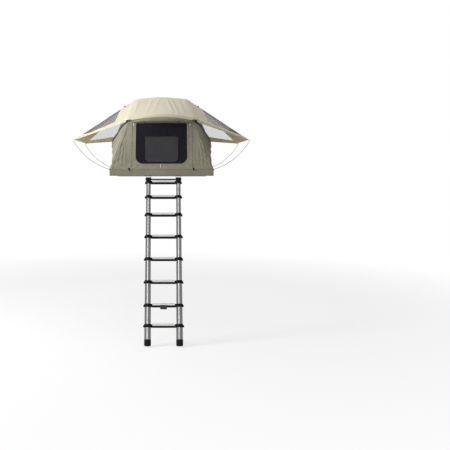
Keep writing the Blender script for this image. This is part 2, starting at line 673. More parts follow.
class Wall:
    """The end wall of one half, to set trims on: a place on it and its outward direction for any (x, z)"""

    # Distance from the hinge at which a ray towards the wall starts
    START = 2.5

    def __init__(self, half, grid):
        self.grid = place(half, grid)
        self.sign = HALVES[half][1]
        faces = grid_faces(*grid.shape[:2], half == "rear").tolist()
        self.tree = BVHTree.FromPolygons(self.grid.reshape(-1, 3).tolist(), faces)

    def at(self, x, z, lift=0.0):
        start = Vector((x, HINGE_Y + self.sign * self.START, z))
        hit, normal, _, _ = self.tree.ray_cast(start, Vector((0, -self.sign, 0)))
        if hit is None:
            raise RuntimeError(f"no wall at x {x:.3f}, z {z:.3f}")
        if normal.y * self.sign < 0:
            normal = -normal
        return np.array(hit + normal * lift), np.array(normal)

    def line(self, points, lift):
        found = [self.at(x, z, lift) for x, z in points]
        return np.array([p for p, _ in found]), np.array([n for _, n in found])


# Edges sharper than this stay crisp on trims, and on the rainfly
CRISP, FLY_CRISP = math.radians(42), math.radians(24)
# Width of UV map round a swept section, and radius of it on a turned part
SECTION_UV, TURNED_UV = 0.03, 0.01
# How far a ribbon's edge bulges, as a share of half its thickness, and how high its middle stands
EDGE_BULGE, RIBBON_CROWN = 0.7, 1.06
# A direction that no turned part's axis has
SLANTED = (0.3, 0.9, 0.2)


def outward_faces(made):
    """The object with its faces turned outwards and its edges crisp"""
    bm = bmesh.new()
    bm.from_mesh(made.data)
    bmesh.ops.recalc_face_normals(bm, faces=bm.faces)
    bm.to_mesh(made.data)
    bm.free()
    made.data.set_sharp_from_angle(angle=CRISP)
    return made


def tube_faces(rings, sides, closed):
    """Faces round a row of rings, with a cap at each end where it isn't closed"""
    ids = np.arange(rings * sides).reshape(rings, sides)
    faces = []
    for i, k in itertools.product(range(rings if closed else rings - 1), range(sides)):
        after, beside = (i + 1) % rings, (k + 1) % sides
        faces.append((ids[i, k], ids[i, beside], ids[after, beside], ids[after, k]))
    return faces if closed else faces + [tuple(ids[0][::-1]), tuple(ids[-1])]


def swept(name, points, facing, section, finish, closed=False):
    """A section of (side, out) points swept along a line, with its out direction given at each point"""
    if closed:
        tangent = unit(np.roll(points, -1, 0) - np.roll(points, 1, 0))
    else:
        tangent = unit(np.gradient(points, axis=0))
    out = unit(facing - tangent * (facing * tangent).sum(1, keepdims=True))
    side = np.cross(tangent, out)
    section = np.asarray(section, float)
    rings = points[:, None] + side[:, None] * section[None, :, :1] + out[:, None] * section[None, :, 1:]
    length = np.concatenate([[0], spans(points).cumsum()])
    uvs = columns(np.linspace(0, SECTION_UV, len(section))[None], length[:, None])
    faces = tube_faces(len(points), len(section), closed)
    return outward_faces(new_object(name, rings.reshape(-1, 3), faces, [finish], uvs.reshape(-1, 2)))


def turned(name, at, axis, profile, finish, sides=16):
    """A turned part: (radius, height) points spun about an axis through a place"""
    axis = unit(np.asarray(axis, float))
    side = unit(np.cross(axis, SLANTED))
    third = np.cross(axis, side)
    angles = np.linspace(0, 2 * math.pi, sides, endpoint=False)
    spokes = np.cos(angles)[:, None] * side + np.sin(angles)[:, None] * third
    rings = [np.asarray(at) + axis * h + r * spokes for r, h in profile]
    uvs = np.tile(columns(np.cos(angles), np.sin(angles)) * TURNED_UV, (len(profile), 1))
    faces = tube_faces(len(profile), sides, False)
    return outward_faces(new_object(name, np.concatenate(rings), faces, [finish], uvs))


def flat_section(width, thick):
    """A ribbon with rounded edges and a slight crown, lying on the surface"""
    w, r = width / 2, thick / 2
    bulge, crown = r * EDGE_BULGE, thick * RIBBON_CROWN
    return [(-w, 0), (w, 0), (w + bulge, r), (w, thick), (0, crown), (-w, thick), (-w - bulge, r)]


def round_section(radius, sides=10, lift=0.0):
    """A cord's round section, lifted off the surface by that much"""
    angles = [2 * math.pi * k / sides for k in range(sides)]
    return [(radius * math.cos(a), lift + radius * math.sin(a)) for a in angles]


def mirrored(half):
    """A turned profile from its waist outwards, on both sides of the waist"""
    return [(r, -h) for r, h in half[:0:-1]] + list(half)


def join(name, pieces):
    """Several meshes as one piece"""
    bm = bmesh.new()
    layer = bm.loops.layers.uv.new("UVMap")
    finishes = []
    for piece in pieces:
        finishes += [finish for finish in piece.data.materials if finish not in finishes]
        part = bmesh.new()
        part.from_mesh(piece.data)
        source = part.loops.layers.uv.active
        made = {v.index: bm.verts.new(v.co) for v in part.verts}
        for face in part.faces:
            new = bm.faces.new([made[v.index] for v in face.verts])
            new.smooth = face.smooth
            new.material_index = finishes.index(piece.data.materials[face.material_index])
            for loop, old in zip(new.loops, face.loops):
                loop[layer].uv = old[source].uv
        part.free()
        bpy.data.objects.remove(piece)
    mesh = bpy.data.meshes.new(name)
    bm.to_mesh(mesh)
    bm.free()
    mesh.set_sharp_from_angle(angle=CRISP)
    for finish in finishes:
        mesh.materials.append(finish)
    return show(name, mesh)


# Spacing of stitches on the walls, on the hem and on the strap, half a stitch as a share of its spacing, and
# the thread's radius
WALL_STITCH, HEM_STITCH, STRAP_STITCH = 0.0065, 0.009, 0.005
STITCH_SHARE, THREAD_R = 0.32, 0.0006


def stitch_tree():
    """A node group that sets a short thread stitch at each step along the lines of a wire mesh"""
    tree = bpy.data.node_groups.new("stitches", "GeometryNodeTree")
    sockets = {"Lines": "Geometry", "Spacing": "Float", "Length": "Float", "Thickness": "Float",
               "Thread": "Material"}
    for name, kind in sockets.items():
        tree.interface.new_socket(name, in_out="INPUT", socket_type=f"NodeSocket{kind}")
    tree.interface.new_socket("Stitches", in_out="OUTPUT", socket_type="NodeSocketGeometry")
    given = add(tree, "NodeGroupInput").outputs
    curve = add(tree, "GeometryNodeMeshToCurve", {"Mesh": given["Lines"]})
    points = add(tree, "GeometryNodeCurveToPoints", {
        "Curve": curve.outputs[0], "Length": given["Spacing"]}, mode="LENGTH")
    bead = add(tree, "GeometryNodeMeshIcoSphere", {"Radius": 1.0, "Subdivisions": 1})
    shape = add(tree, "ShaderNodeCombineXYZ", {
        "X": given["Thickness"], "Y": given["Thickness"], "Z": given["Length"]})
    turn = add(tree, "FunctionNodeAlignRotationToVector", {"Vector": points.outputs["Tangent"]}, axis="Z")
    laid = add(tree, "GeometryNodeInstanceOnPoints", {
        "Points": points.outputs["Points"], "Instance": bead.outputs["Mesh"], "Rotation": turn.outputs[0],
        "Scale": shape.outputs[0]})
    real = add(tree, "GeometryNodeRealizeInstances", {"Geometry": laid.outputs[0]})
    done = add(tree, "GeometryNodeSetMaterial", {"Geometry": real.outputs[0], "Material": given["Thread"]})
    add(tree, "NodeGroupOutput", {"Stitches": done.outputs[0]})
    return tree


def stitched(name, lines, spacing):
    """Thread stitches along lines of points"""
    vertices, edges = [], []
    for line in lines:
        first = len(vertices)
        vertices += [tuple(p) for p in line]
        edges += [(first + i, first + i + 1) for i in range(len(line) - 1)]
    mesh = bpy.data.meshes.new(name)
    mesh.from_pydata(vertices, edges, [])
    made = show(name, mesh)
    sewing = made.modifiers.new("Stitches", "NODES")
    tree = bpy.data.node_groups.get("stitches") or stitch_tree()
    sewing.node_group = tree
    values = {"Spacing": spacing, "Length": spacing * STITCH_SHARE, "Thickness": THREAD_R,
              "Thread": FINISHES["thread"]}
    for item in tree.interface.items_tree:
        if item.name in values:
            sewing[item.identifier] = values[item.name]
    return settle(made)


# CAD parts that stay in view, by their finish. Numbered ones are named without their numbers
PART_FINISHES = {
    "frame_alloy": ("fixed_frame", "moving_frame", "mounting_rails"),
    "board": ("fixed_board", "moving_board"),
    "black_steel": ("fixed_hinge_plates", "moving_hinge_plates", "pivot_bar", "ladder_brackets"),
    "steel": ("hinge_pins", "near_rods", "far_rods"),
    "alloy": ("front_hoop", "centre_hoop", "rear_hoop", "stile_tubes"),
    "tread_alloy": ("ladder_tread",),
    "nylon": ("near_sockets", "far_sockets", "ladder_collars"),
    "rubber": ("ladder_feet", "release_buttons"),
}


class TENT_OT_finishes(bpy.types.Operator):
    """Makes the finishes and puts them on the CAD parts that stay in view"""

    bl_idname = "tent.finishes"
    bl_label = "Finishes"

    def execute(self, context):
        make_finishes(context.scene.tent_colours)
        finish_of = {part: finish for finish, parts in PART_FINISHES.items() for part in parts}
        for name, node in NODES.items():
            finish = finish_of.get(name.rstrip("0123456789").rstrip("_"))
            if finish:
                node.data.materials.clear()
                node.data.materials.append(FINISHES[finish])
        return {"FINISHED"}


class TENT_OT_canopy(bpy.types.Operator):
    """Hangs the canopy halves and their insect screens"""

    bl_idname = "tent.canopy"
    bl_label = "Canopy"

    def execute(self, context):
        z = context.scene.tent_sizes
        for half, node in (("front", "door_screen"), ("rear", "rear_screen")):
            grid = canopy_grid(z, FOLD_SEEDS[half])
            WALLS[half] = Wall(half, grid)
            opening = OPENINGS[half]
            canopy = sheet_object(
                f"{half}_canopy_cloth", place(half, grid), half == "rear", FINISHES["canvas"])
            cut_outline(canopy, opening_outline(opening, 0.0, z.base_low), half, False)
            thicken(canopy, z.cloth)
            hang(canopy, half, f"{half}_canopy")

            wall = grid[ROOF_ROWS : ROOF_ROWS + WALL_ROWS + 1]
            inner = place(half, wall - normals(wall) * SCREEN_BACK)
            screen = sheet_object(f"{node}_net", inner, half == "rear", FINISHES["screen"])
            cut_outline(screen, opening_outline(opening, SCREEN_LAP, z.base_low), half, True)
            thicken(screen, NET_THICK)
            hang(screen, half, node)
        return {"FINISHED"}


# Columns of a wing, columns of the strip from wing to crown, and rows of the hem
WING_COLS, STRIP_COLS, HEM_ROWS = 24, 6, 8
# What a wing's end net leaves to the cloth round it, in columns: along its edge, by the crown, by the hook
NET_BORDER = {"front": (3, 5, 0), "rear": (2, 1, 0)}
# The same for the net over a side window: by the seam, by the crown, and by the outer edge
SIDE_NET_BORDER = (0, 4, 7)
# Share of the centre hoop's leg below the wings, and how fast a wing's sag grows from its edges
CENTRE_EDGE, SAG_RISE = 0.98, 3
# Tucks over the crown: place across at the centre hoop, drift across to the edge, spread and height
TUCKS = ((-0.34, -0.06, 0.022, 0.0045), (-0.13, -0.10, 0.018, 0.0045), (-0.02, -0.12, 0.018, 0.004),
         (0.07, 0.10, 0.022, 0.005), (0.13, 0.12, 0.018, 0.0045), (0.25, 0.08, 0.022, 0.004))
# The tucks end towards the shoulders, and fade towards the hoops as this power of a sine
TUCK_STOP, TUCK_POWER = (0.42, 0.56), 0.7
# Slow unevenness of the rainfly, and the fades that hold it at the centre hoop and the edge
FLY_SWELL = ((4.0, 0.003, 21.0), (11.0, 0.0012, 5.0))
FLY_START, FLY_STOP = (0.0, 0.12), (0.85, 1.0)
# Drop of the hem at the hooks, where it runs out
HEM_END = 0.002


def wing_point(z, top, brink, middle, hook, w, v):
    """A place on a wing: w from the crown outwards and v from the hinge plane to the edge, with its sag"""
    if v <= w:
        p = top * (1 - w) + middle * (w - v) + hook * v
        away = min(v, min(1 - w, w - v) * SAG_RISE)
    else:
        p = top * (1 - v) + brink * (v - w) + hook * w
        away = min(w, min(1 - v, v - w) * SAG_RISE)
    return p - np.array([0, 0, z.wing_sag * SAG_RISE * max(0.0, away)])


def fly_grid(z, half):
    """One half of the rainfly as a grid: wing, strip, crown, strip, wing, with its tucks and its hem"""
    legs, crown = z.leg_cols, slice(z.leg_cols, z.leg_cols + z.crown_cols + 1)
    centre, outer = hoop_lines(z, z.fly_cover)
    outer[:, 2] += z.fly_rise
    edge_share, hook_y = (z.front_edge, z.near_hook) if half == "front" else (z.rear_edge, z.far_hook)

    def on(line, column):
        return np.array([np.interp(column, np.arange(len(line)), coordinate) for coordinate in line.T])

    first, edge = legs * CENTRE_EDGE, legs * edge_share
    low = z.base_low + z.hook_height
    hook, middle = np.array([-z.hook_x, hook_y, low]), np.array([-z.hook_x, SEAM, low])
    corners = (on(centre, first), on(outer, edge), middle, hook)
    rows = []
    for v in np.arange(WING_COLS + 1) / WING_COLS:
        left = [wing_point(z, *corners, 1 - k / WING_COLS, v) for k in range(WING_COLS + 1)]
        for t in (j / STRIP_COLS for j in range(1, STRIP_COLS)):
            left.append(mixed(on(centre, mixed(first, legs, t)), on(outer, mixed(edge, legs, t)), v))
        rows.append([*left, *mixed(centre[crown], outer[crown], v), *(p * [-1, 1, 1] for p in left[::-1])])
    grid = np.array(rows)

    t = np.linspace(0, 1, len(rows))[:, None]
    x = grid[..., 0]
    tucks = np.zeros(x.shape)
    crown_only = 1 - smooth(np.abs(x), *TUCK_STOP)
    for at, slope, spread, tall in TUCKS:
        ridge = tall * np.exp(-(((x - at - slope * t) / spread) ** 2))
        tucks += ridge * np.sin(math.pi * t) ** TUCK_POWER * crown_only
    uneven = (tucks + swell(place(half, grid), FLY_SWELL)) * band(t, FLY_START, FLY_STOP)
    grid = grid + normals(grid) * uneven[..., None]

    full = np.clip(from_ends(grid.shape[1]) / WING_COLS, 0, 1)
    depth = z.hem_drop * full + HEM_END * (1 - full)
    hem = []
    for f in np.arange(1, HEM_ROWS + 1) / HEM_ROWS:
        turn = f * math.pi / 2
        run = z.hem_run * full * math.sin(turn)
        hem.append(grid[-1] + columns(0, run, -depth * (f + 1 - math.cos(turn)) / 2))
    return np.concatenate([grid, np.array(hem)])


class TENT_OT_rainfly(bpy.types.Operator):
    """Stretches the rainfly over the hoops, with a net window in each wing"""

    bl_idname = "tent.rainfly"
    bl_label = "Rainfly"

    def execute(self, context):
        z = context.scene.tent_sizes
        for half in HALVES:
            grid = fly_grid(z, half)
            FLIES[half] = place(half, grid)
            rows, cols = grid.shape[:2]
            faces, in_net = [], []
            for i, j in itertools.product(range(rows - 1), range(cols - 1)):
                for tile in self.tiles(i, j, cols):
                    corners = [row * cols + column for row, column in tile]
                    faces.append(corners[::-1] if half == "rear" else corners)
                    in_net.append(len(tile) == 3 and self.in_net(tile, cols, half))
            finishes = [FINISHES[name] for name in ("fly", f"{half}_net", "fly_inside", f"{half}_net")]
            fly = new_object(f"{half}_fly_cloth", FLIES[half].reshape(-1, 3), faces, finishes, grid_uv(grid))
            fly.data.polygons.foreach_set("material_index", np.array(in_net, np.int32))
            thicken(fly, z.cloth, 2)
            fly.data.set_sharp_from_angle(angle=FLY_CRISP)
            hang(fly, half, f"{half}_fly")
        return {"FINISHED"}

    def tiles(self, i, j, cols):
        """A cell of the grid whole, or on a wing as two triangles that meet along the wing's ridge lines"""
        a, b, c, d = (i, j), (i, j + 1), (i + 1, j), (i + 1, j + 1)
        if min(j, cols - 2 - j) >= WING_COLS or i >= WING_COLS:
            return [(a, c, d, b)]
        return [(a, c, b), (b, c, d)] if j < cols // 2 else [(a, d, b), (a, c, d)]

    def in_net(self, tile, cols, half):
        """Whether a tile of a wing lies inside its net window, between its ridge, edge, crown and hook"""
        v = sum(i for i, _ in tile) / 3
        w = WING_COLS - sum(min(j, cols - 1 - j) for _, j in tile) / 3
        along, crown, hook = NET_BORDER[half] if v > w else SIDE_NET_BORDER
        return (WING_COLS - v if v > w else v) > along and crown < w < WING_COLS - hook


# A roll's turns, steps to a turn, rings along it, run past the opening, and ties' share of the width
ROLL_TURNS, ROLL_STEPS, ROLL_RINGS = 4, 26, 81
ROLL_SPARE, TIE_AT = 0.050, 1 / 3
# A roll thins where the hoop falls, but not below its least girth, and its core is left open
THINNING, LEAST_GIRTH, CORE = 0.6, 0.36, 0.78
# Where the spiral starts and how far that wanders, the roll's share of its girth and its stand from the wall
SPIRAL_START, SPIRAL_WANDER, ROLL_SHARE, ROLL_STAND = 2.5, 0.25, 0.95, 1.02
# Depth and spread of the pinch under a tie, and unevenness of the roll
PINCH, PINCH_SPREAD, ROLL_SWELL = 0.2, 0.02, 0.06
# Scales of the noises that swell the roll and turn its spiral, and what sets the two rolls apart
SWELL_SCALE, WANDER_SCALE, ROLL_SEED = 9, 4, 50
# Ties: width, thickness, spacing of points, and drop of the toggle below
TIE_WIDTH, TIE_THICK, TIE_STEP, TOGGLE_DROP = 0.020, 0.0016, 0.006, 0.004
# Toggles of the ties and of the rainfly, as (radius, height) from the waist to one end
TIE_TOGGLE = ((0.004, 0.0), (0.0065, 0.004), (0.006, 0.013), (0.002, 0.016))
FLY_TOGGLE = ((0.005, 0.0), (0.0085, 0.004), (0.008, 0.013), (0.003, 0.015))


def rolled_flap(z, half, half_w, high, radius, tie):
    """Rings of a flap rolled into a spiral above its opening, thinner towards its ends and tied twice"""
    _, outer = hoop_lines(z, z.cover)
    crown = outer[z.leg_cols : z.leg_cols + z.crown_cols + 1]
    turn = np.linspace(0, ROLL_TURNS * 2 * math.pi, ROLL_TURNS * ROLL_STEPS + 1)
    rings = []
    for x in np.linspace(-half_w, half_w, ROLL_RINGS):
        fall = crown[:, 2].max() - np.interp(x, crown[:, 0], crown[:, 2])
        girth = max(LEAST_GIRTH * radius, radius - THINNING * fall)
        seat, out = WALLS[half].at(x, z.base_low + high + girth)
        pinch = 1 - PINCH * math.exp(-(((abs(x) - tie) / PINCH_SPREAD) ** 2))
        uneven = 1 + ROLL_SWELL * noise.noise(Vector((x * SWELL_SCALE, radius * ROLL_SEED, 2.0)))
        r = girth * ROLL_SHARE * pinch * uneven * (1 - CORE * turn / turn[-1])
        a = turn + SPIRAL_START + SPIRAL_WANDER * noise.noise(Vector((x * WANDER_SCALE, 1.0, 8.0)))
        down = unit(np.cross(out, [1, 0, 0]))
        axis = seat + out * (girth * ROLL_STAND)
        rings.append(axis + (np.cos(a) * r)[:, None] * out + (np.sin(a) * r)[:, None] * down)
    return np.array(rings)


class TENT_OT_flaps(bpy.types.Operator):
    """Rolls up the door and the rear window's flap and ties them"""

    bl_idname = "tent.flaps"
    bl_label = "Rolled flaps"

    def execute(self, context):
        z = context.scene.tent_sizes
        rolls = (("front", "rolled_door", z.roll_r), ("rear", "rolled_window", z.window_roll_r))
        for half, node, radius in rolls:
            opening = OPENINGS[half]
            half_w, tie = opening.width / 2 + ROLL_SPARE, opening.width * TIE_AT
            grid = rolled_flap(z, half, half_w, opening.high, radius, tie)
            roll = sheet_object(f"{node}_cloth", grid, half == "rear", FINISHES["canvas"])
            thicken(roll, z.cloth)
            hang(roll, half, node)
            places = np.linspace(-half_w, half_w, len(grid))
            pieces = []
            for x in (-tie, tie):
                pieces += self.tie(grid[np.argmin(np.abs(places - x))][:ROLL_STEPS])
            hang(join(f"{node}_ties", pieces), half)
        return {"FINISHED"}

    def tie(self, ring):
        """A strap round a roll's outer turn, and the toggle below it"""
        middle = ring.mean(0)
        spokes = ring - middle
        lifted = middle + spokes * (1 + TIE_THICK / np.linalg.norm(spokes, axis=1)[:, None])
        around = dense(lifted, TIE_STEP, True)
        section = flat_section(TIE_WIDTH, TIE_THICK)
        strap = swept("strap", around, around - middle, section, FINISHES["canvas"], True)
        below = around[np.argmin(around[:, 2])] - [0, 0, TOGGLE_DROP]
        return [strap, turned("toggle", below, (1, 0, 0), mirrored(TIE_TOGGLE), FINISHES["nylon"], 12)]


# Cells of a mattress along its width, length and height
MATTRESS_CELLS = (44, 48, 8)
# Shares of its half size: sides drawn in at mid height, corners and edges rounded, top lower at its edge
SIDE_DRAW, CORNER_DRAW, EDGE_DRAW, CROWN_SHARE = 0.012, 0.02, 0.006, 0.20
# Where the corners and edges start, how flat the crown is, and where the sewn top starts and ends
CORNER_FROM, EDGE_FROM, CROWN_POWER, TOP_FROM, PIPED_FROM = 1.6, 0.7, 6, 0.6, 0.93
# Channels sewn across its top: places and spread as shares of its half length, and depth
CHANNELS, CHANNEL_SPREAD, CHANNEL_DEPTH = (-0.66, -0.33, 0, 0.33, 0.66), 0.014, 0.006


def mattress_point(u, v, w):
    """A place on a foam slab, for shares from -1 to 1 of its half sizes, and how deep it is sewn in"""
    edge = max(abs(u), abs(v))
    sides = 1 - SIDE_DRAW * (1 - w * w)
    corner = 1 - CORNER_DRAW * max(0.0, abs(u) + abs(v) - CORNER_FROM) / (2 - CORNER_FROM)
    ends = 1 - EDGE_DRAW * smooth(abs(w), EDGE_FROM, 1)
    crown = 1 - CROWN_SHARE * edge**CROWN_POWER if w > 0 else 1
    sewn = CHANNEL_DEPTH * sum(math.exp(-(((v - c) / CHANNEL_SPREAD) ** 2)) for c in CHANNELS)
    inward = sides * corner * ends
    on_top = smooth(w, TOP_FROM, 1) * (1 - smooth(edge, PIPED_FROM, 1))
    return (u * inward, v * inward, w * crown), sewn * on_top


def mattress_mesh(name, low, high, finish):
    """A foam slab with a sewn top that fills a box"""
    size, centre = (high - low) / 2, (high + low) / 2
    index, points, faces = {}, [], []

    def vertex(*cell):
        if cell not in index:
            index[cell] = len(points)
            at, sewn = mattress_point(*(2 * k / count - 1 for k, count in zip(cell, MATTRESS_CELLS)))
            points.append(centre + size * at - [0, 0, sewn])
        return index[cell]

    for axis in range(3):
        first, second = (k for k in range(3) if k != axis)
        cells = itertools.product(range(MATTRESS_CELLS[first]), range(MATTRESS_CELLS[second]))
        for (i, j), end in itertools.product(cells, (0, MATTRESS_CELLS[axis])):
            face = []
            for cell in ((i, j), (i + 1, j), (i + 1, j + 1), (i, j + 1)):
                face.append(vertex(*cell[:axis], end, *cell[axis:]))
            faces.append(face)
    return outward_faces(new_object(name, points, faces, [finish], [p[:2] for p in points]))


class TENT_OT_bedding(bpy.types.Operator):
    """Lays a mattress half on each floor"""

    bl_idname = "tent.bedding"
    bl_label = "Bedding"

    def execute(self, context):
        for half in HALVES:
            low, high = (np.array(c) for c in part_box(f"{half}_mattress"))
            pad = mattress_mesh(f"{half}_mattress_pad", low, high, FINISHES["knit"])
            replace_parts(pad, f"{half}_mattress")
            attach(pad, HALVES[half][0])
        return {"FINISHED"}


# Lines round an opening, as distances from its edge: the binding's middle and its two rows of stitches
BINDING_AT, BINDING_STITCHES = 0.009, (0.004, 0.014)
# Width, thickness, lift and spacing of points of the binding, and lift of its stitches
BINDING_WIDTH, BINDING_THICK, BINDING_LIFT, BINDING_STEP, BINDING_SEWN = 0.014, 0.0016, 0.0002, 0.012, 0.0022
# Panel seams of a wall: half width at the head, half width at the foot, and lift of the foot off the skirt
PANEL_SEAMS = ((0.415, 0.415, 0.002), (0.456, 0.678, 0.003))
# They start above the door's head. Width, thickness, lift, spacing of points, and the reach to either side
# within which a seam is lifted over the folds. Then the place of its stitches beside and above its middle
SEAM_HEAD = 0.012
SEAM_WIDTH, SEAM_THICK, SEAM_LIFT, SEAM_STEP, SEAM_REACH = 0.011, 0.0020, 0.0005, 0.015, 0.006
SEAM_STITCHES, SEAM_SEWN = (-0.0035, 0.0035), 0.0024
# Dark sleeve edges: drop below the hoop at the bow's middle, as a share of the wall's rows, and radius
SLEEVES = ((0.095, 0.0038), (0.05, 0.0020))
# Their drop before they bow, the bow's power, the share of the leg where they start, the part of the crown's
# columns after which they end (one in 20), and the spacing of their points
SLEEVE_TOP, SLEEVE_POWER, SLEEVE_START, SLEEVE_END, SLEEVE_STEP = 0.012, 0.8, 0.52, 20, 0.012
# Caps on the shoulders: lift off the canopy, start and end as parts of the crown's columns (one in 60 and one
# in 12), radius, rise and spacing of points
CAP_COVER, CAP_START, CAP_END, CAP_R, CAP_RISE, CAP_STEP = 0.002, 60, 12, 0.015, 0.006, 0.008
# Outward directions of sleeves and caps: to the side, away from the hinge and up
SLEEVE_FACING, CAP_FACING = (0.6, 0.7, 0.3), (0.5, 0.7, 0.4)
# Piping along the skirt: stand off the base, distance of its ends from the hinge, radius, lift, step
PIPING_EASE, PIPING_START, PIPING_R, PIPING_LIFT, PIPING_STEP = 0.005, 0.01, 0.0018, 0.0005, 0.02
# Eyelets in the wing corners: (radius, height) points, distance in from the corner, lift
EYELET = ((0.005, 0.0), (0.011, 0.0), (0.012, 0.0014), (0.010, 0.0024), (0.006, 0.0024), (0.005, 0.0016))
EYELET_IN, EYELET_LIFT = 0.022, 0.001
# Toggles on the ridges: rows down from the crown, and place beside and above the ridge
TOGGLE_ROW, TOGGLE_SIDE, TOGGLE_LIFT = 3, 0.003, 0.006
# Ways that eyelets and ridge bindings face: to the side, away from the hinge and up. Then the toggles' axis
EYELET_AXIS, RIDGE_FACING, TOGGLE_AXIS = (0.42, 0.1, 0.9), (0.6, 0, 0.8), (0, 1, 0.1)
# Radius of the ridge bindings, spacing of points on ridge and hem, and lift of the hem's stitches
RIDGE_R, RIDGE_STEP, HEM_STEP, HEM_LIFT = 0.002, 0.02, 0.02, 0.0012


class TENT_OT_trims(bpy.types.Operator):
    """Sews on the bindings, seams, tabs and hooks, and sets the hoops' corner caps"""

    bl_idname = "tent.trims"
    bl_label = "Trims"

    def execute(self, context):
        z = context.scene.tent_sizes
        for half in HALVES:
            self.wall_trim(z, half)
            self.hoop_trim(z, half)
            self.skirt_trim(z, half)
            self.fly_trim(half)
        self.door_fittings()
        return {"FINISHED"}

    def wall_trim(self, z, half):
        """Binding round the opening, panel seams beside it and over the gussets, and their stitches"""
        wall = WALLS[half]

        def around(grow):
            return dense(opening_outline(OPENINGS[half], grow, z.base_low), BINDING_STEP, True)

        points, facing = wall.line(around(BINDING_AT), BINDING_LIFT)
        section = flat_section(BINDING_WIDTH, BINDING_THICK)
        pieces = [swept("binding", points, facing, section, FINISHES["canvas"], True)]
        sewn = []
        for line in map(around, BINDING_STITCHES):
            sewn.append(wall.line(np.concatenate([line, line[:1]]), BINDING_SEWN)[0])
        head, foot = z.base_low + OPENINGS["front"].high + SEAM_HEAD, z.base_low + z.skirt_height
        section = flat_section(SEAM_WIDTH, SEAM_THICK)
        for side, (head_x, foot_x, lift) in itertools.product((-1, 1), PANEL_SEAMS):
            seam = dense([(side * head_x, head), (side * foot_x, foot + lift)], SEAM_STEP)
            points, facing = wall.line(seam, SEAM_LIFT)
            beside = []
            for reach in (-SEAM_REACH, 0, SEAM_REACH):
                beside.append(wall.line(seam + [reach, 0], SEAM_LIFT)[0][:, 1])
            points[:, 1] = wall.sign * np.max(wall.sign * np.array(beside), 0)
            # Evened out over five points, so that the seam doesn't follow every fold
            points[2:-2] = sum(points[k : len(points) - 4 + k] for k in range(5)) / 5
            pieces.append(swept("seam", points, facing, section, FINISHES["canvas"]))
            across = unit(np.cross(np.gradient(points, axis=0), facing))
            sewn += [points + across * offset + facing * SEAM_SEWN for offset in SEAM_STITCHES]
        hang(join(f"{half}_wall_seams", pieces), half)
        hang(stitched(f"{half}_wall_stitches", sewn, WALL_STITCH), half)

    def hoop_trim(self, z, half):
        """Dark edges of the hoop's sleeve on the end wall, and a cap past each of its shoulder bends"""
        legs, crowns = z.leg_cols, z.crown_cols
        run = np.arange(int(legs * SLEEVE_START), legs + crowns // SLEEVE_END)
        bow = np.sin(np.linspace(0, math.pi, len(run))) ** SLEEVE_POWER
        cap = slice(legs + crowns // CAP_START, legs + crowns // CAP_END)

        def facing(path, out):
            return columns(np.sign(path[:, 0]) * out[0], HALVES[half][1] * out[1], out[2])

        pieces = []
        for way in (1, -1):
            wall = WALLS[half].grid[:, ::way]
            for share, radius in SLEEVES:
                at = ROOF_ROWS + (SLEEVE_TOP + share * bow) * WALL_ROWS
                low = np.floor(at).astype(int)
                path = mixed(wall[low, run], wall[low + 1, run], (at - low)[:, None])
                points, section = dense(path, SLEEVE_STEP), round_section(radius, 8, radius / 2)
                out = resample(facing(path, SLEEVE_FACING), len(points) - 1)
                pieces.append(swept("sleeve", points, out, section, FINISHES["nylon"]))
            _, outer = hoop_lines(z, z.cover + CAP_COVER)
            path = dense(place(half, outer[::way][cap]), CAP_STEP)
            section = round_section(CAP_R, 12, CAP_RISE)
            pieces.append(swept("cap", path, facing(path, CAP_FACING), section, FINISHES["nylon"]))
        hang(join(f"{half}_hoop_sleeves", pieces), half)

    def skirt_trim(self, z, half):
        """Piping along the top of the skirt"""
        half_x, end = z.base_half + PIPING_EASE, SEAM + z.half_len + PIPING_EASE
        height = z.base_low + z.skirt_height
        corners = ((-half_x, PIPING_START), (-half_x, end), (half_x, end), (half_x, PIPING_START))
        points = place(half, dense([(x, y, height) for x, y in corners], PIPING_STEP))
        facing = unit(points - [0, HINGE_Y, height]) * [1, 1, 0]
        section = round_section(PIPING_R, 8, PIPING_LIFT)
        piping = swept(f"{half}_skirt_piping", points, facing, section, FINISHES["canvas"])
        hang(piping, half)

    def fly_trim(self, half):
        """Eyelets at the wing corners, toggles and bindings on the ridges and stitches along the hem"""
        grid, sign = FLIES[half], HALVES[half][1]
        fittings, bindings = [], []
        for side, column in ((-1, 0), (1, grid.shape[1] - 1)):
            ridge = [grid[k, column - (WING_COLS - k) * side] for k in range(WING_COLS + 1)]
            corner = ridge[-1]
            at = corner + unit(ridge[-3] - corner) * EYELET_IN + [0, 0, EYELET_LIFT]
            axis = np.multiply(EYELET_AXIS, (side, sign, 1))
            fittings.append(turned("eyelet", at, axis, EYELET, FINISHES["steel"], 20))
            at = ridge[TOGGLE_ROW] + [side * TOGGLE_SIDE, 0, TOGGLE_LIFT]
            fittings.append(turned("toggle", at, TOGGLE_AXIS, mirrored(FLY_TOGGLE), FINISHES["nylon"]))
            line = dense(ridge[1:], RIDGE_STEP)
            facing = np.repeat([np.multiply(RIDGE_FACING, (side, 1, 1))], len(line), 0)
            bindings.append(swept("binding", line, facing, round_section(RIDGE_R, 8), FINISHES["canvas"]))
        hang(join(f"{half}_fly_fittings", fittings), half)
        hang(join(f"{half}_ridge_bindings", bindings), half)
        hem = [dense(grid[row] + [0, sign * HEM_LIFT, 0], HEM_STEP) for row in (WING_COLS + 1, -2)]
        hang(stitched(f"{half}_hem_stitches", hem, HEM_STITCH), half)

